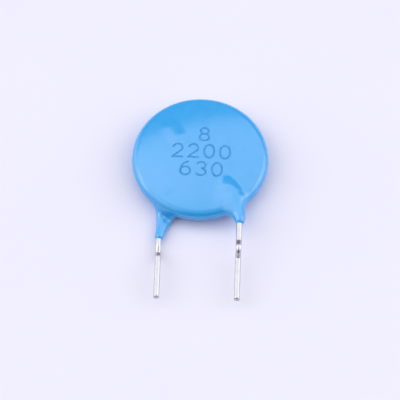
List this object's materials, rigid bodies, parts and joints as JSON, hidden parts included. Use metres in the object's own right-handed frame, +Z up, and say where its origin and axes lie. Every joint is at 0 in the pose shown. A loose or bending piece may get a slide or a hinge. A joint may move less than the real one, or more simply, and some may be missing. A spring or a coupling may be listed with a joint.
{
  "type": "ceramic disc capacitor",
  "caption": "Flat round capacitor: a silvered ceramic disc in a glossy dipped blue epoxy coat, with kinked round tinned wire leads for a circuit board.",
  "frame": {"origin": "under the middle of the part's box, on the surface that it lies on", "axes": "+Z up, out of the front face; the leads point along -Y; +X to the right, towards the front lead"},
  "size_m": [0.013, 0.0213, 0.0026],
  "materials": {
    "epoxy": "glossy dipped blue epoxy",
    "ceramic": "unglazed sintered tan ceramic",
    "silver": "matt fired silver",
    "solder": "bright tin solder",
    "tinned_wire": "bright tinned wire"
  },
  "bodies": {
    "root": {"epoxy_coating": "epoxy", "ceramic_disc": "ceramic", "front_electrode": "silver", "back_electrode": "silver", "front_solder": "solder", "back_solder": "solder", "front_lead": "tinned_wire", "back_lead": "tinned_wire"}
  },
  "joints": []
}
